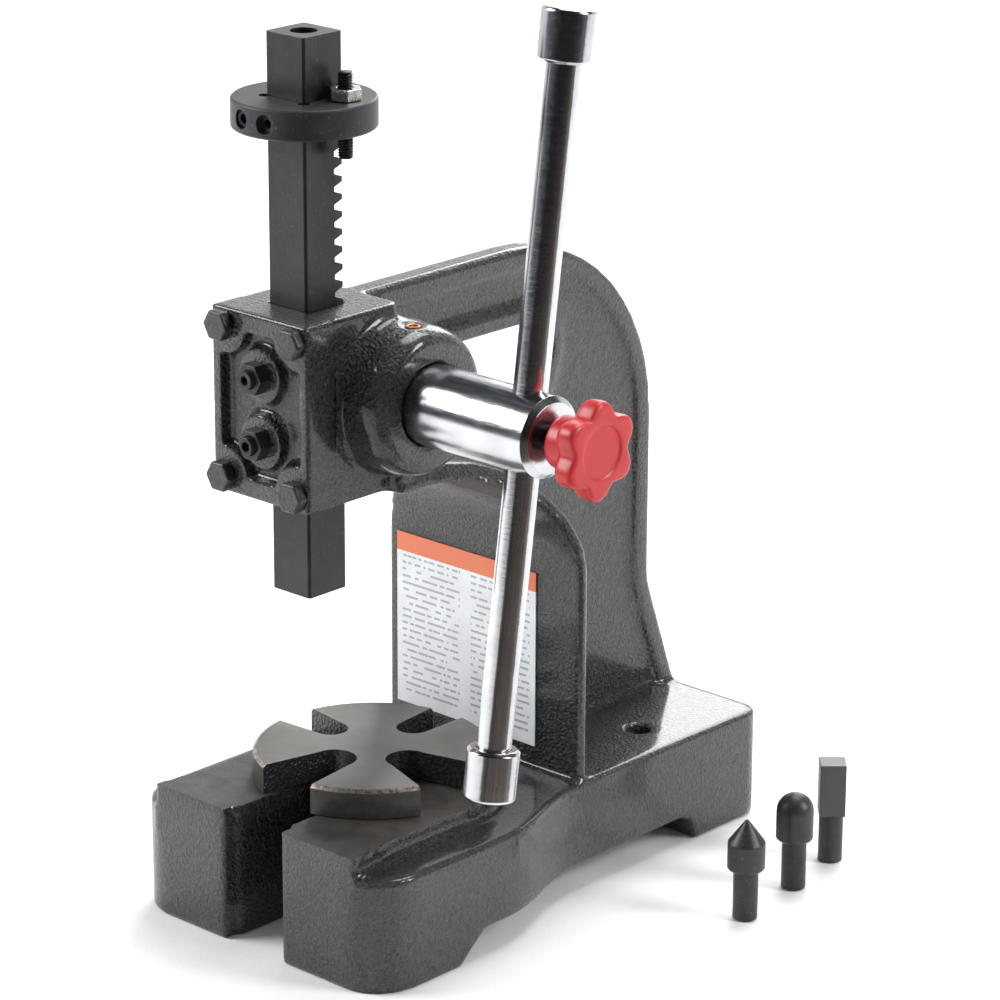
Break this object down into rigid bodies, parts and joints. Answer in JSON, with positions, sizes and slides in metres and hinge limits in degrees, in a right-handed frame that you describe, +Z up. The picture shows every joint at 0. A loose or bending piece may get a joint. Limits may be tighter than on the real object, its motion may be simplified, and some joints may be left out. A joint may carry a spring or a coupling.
{
  "type": "arbor press",
  "caption": "Bench arbor press: slotted cast-iron frame, square rack ram with depth-stop collar, pinion hub with sliding clamped handle, indexing anvil plate and loose nose tools.",
  "frame": {"origin": "centre of the bounding box's bottom face, on the bench", "axes": "+Z up along the ram, -Y to the front (the side with the bolted cover), +X to the side with the handle"},
  "size_m": [0.2322, 0.285, 0.4383],
  "materials": {
    "hammered_paint": "glossy black hammered paint on cast iron",
    "blackened_steel": "black-oxide finish on machined steel",
    "chrome": "bright chrome plate",
    "bright_zinc": "bright zinc plate",
    "ground_steel": "ground grey steel",
    "brass": "bare brass",
    "red_plastic": "moulded red plastic",
    "label_white": null
  },
  "bodies": {
    "frame": {"frame_casting": "hammered_paint", "front_cover_plate": "hammered_paint", "cover_bolt_1": "hammered_paint", "cover_bolt_2": "hammered_paint", "cover_bolt_3": "hammered_paint", "cover_bolt_4": "hammered_paint", "gib": "blackened_steel", "gib_screw_lower": "blackened_steel", "gib_screw_upper": "blackened_steel", "gib_lock_nut_lower": "blackened_steel", "gib_lock_nut_upper": "blackened_steel", "oiler_ring": "brass", "oiler_ball": "blackened_steel", "label_plate": "label_white"},
    "ram": {"ram": "blackened_steel"},
    "collar": {"stop_collar": "blackened_steel", "collar_set_screw_1": "blackened_steel", "collar_set_screw_2": "blackened_steel", "stop_nut": "bright_zinc"},
    "stop": {"stop_stud": "blackened_steel"},
    "pinion": {"pinion_shaft": "chrome", "shaft_end_washer": "blackened_steel", "shaft_end_screw": "blackened_steel"},
    "handle": {"handle_bar": "chrome", "handle_cap_upper": "chrome", "handle_cap_lower": "chrome"},
    "clamp_screw": {"clamp_stud": "blackened_steel"},
    "knob": {"clamp_knob": "red_plastic"},
    "anvil": {"anvil_plate": "ground_steel"},
    "tool_cone": {"nose_tool_cone": "blackened_steel"},
    "tool_round": {"nose_tool_round": "blackened_steel"},
    "tool_flat": {"nose_tool_flat": "blackened_steel"}
  },
  "joints": [
    {"name": "pinion_spin", "type": "hinge", "parent": "frame", "child": "pinion", "pos_m": [-0.03565, -0.07975, 0.2568], "axis": [1, 0, 0], "range_deg": [-107, 254]},
    {"name": "ram_slide", "type": "slide", "parent": "frame", "child": "ram", "axis": [0, 0, 1], "range_m": [-0.0668, 0.0282]},
    {"name": "collar_slide", "type": "slide", "parent": "ram", "child": "collar", "axis": [0, 0, 1], "range_m": [0, 0.028]},
    {"name": "stop_adjust", "type": "slide", "parent": "collar", "child": "stop", "axis": [0, 0, 1], "range_m": [0, 0.012]},
    {"name": "handle_slide", "type": "slide", "parent": "pinion", "child": "handle", "axis": [0, 0.1383, 0.9904], "range_m": [-0.13, 0.12]},
    {"name": "clamp_travel", "type": "slide", "parent": "pinion", "child": "clamp_screw", "axis": [1, 0, 0], "range_m": [0, 0.0031]},
    {"name": "knob_turn", "type": "hinge", "parent": "clamp_screw", "child": "knob", "pos_m": [0.10335, -0.07975, 0.2568], "axis": [1, 0, 0], "range_deg": [0, 720]},
    {"name": "anvil_turn", "type": "hinge", "parent": "frame", "child": "anvil", "pos_m": [-0.03565, -0.065, 0.0641], "axis": [0, 0, 1], "continuous": true},
    {"name": "cone_lift", "type": "slide", "parent": "frame", "child": "tool_cone", "axis": [0, 0, 1], "range_m": [0, 0.05]},
    {"name": "round_lift", "type": "slide", "parent": "frame", "child": "tool_round", "axis": [0, 0, 1], "range_m": [0, 0.05]},
    {"name": "flat_lift", "type": "slide", "parent": "frame", "child": "tool_flat", "axis": [0, 0, 1], "range_m": [0, 0.05]}
  ],
  "couplings": [
    {"joint": "ram_slide", "follows": "pinion_spin", "m_per_rad": -0.015},
    {"joint": "clamp_travel", "follows": "knob_turn", "m_per_rad": 0.0002387}
  ]
}
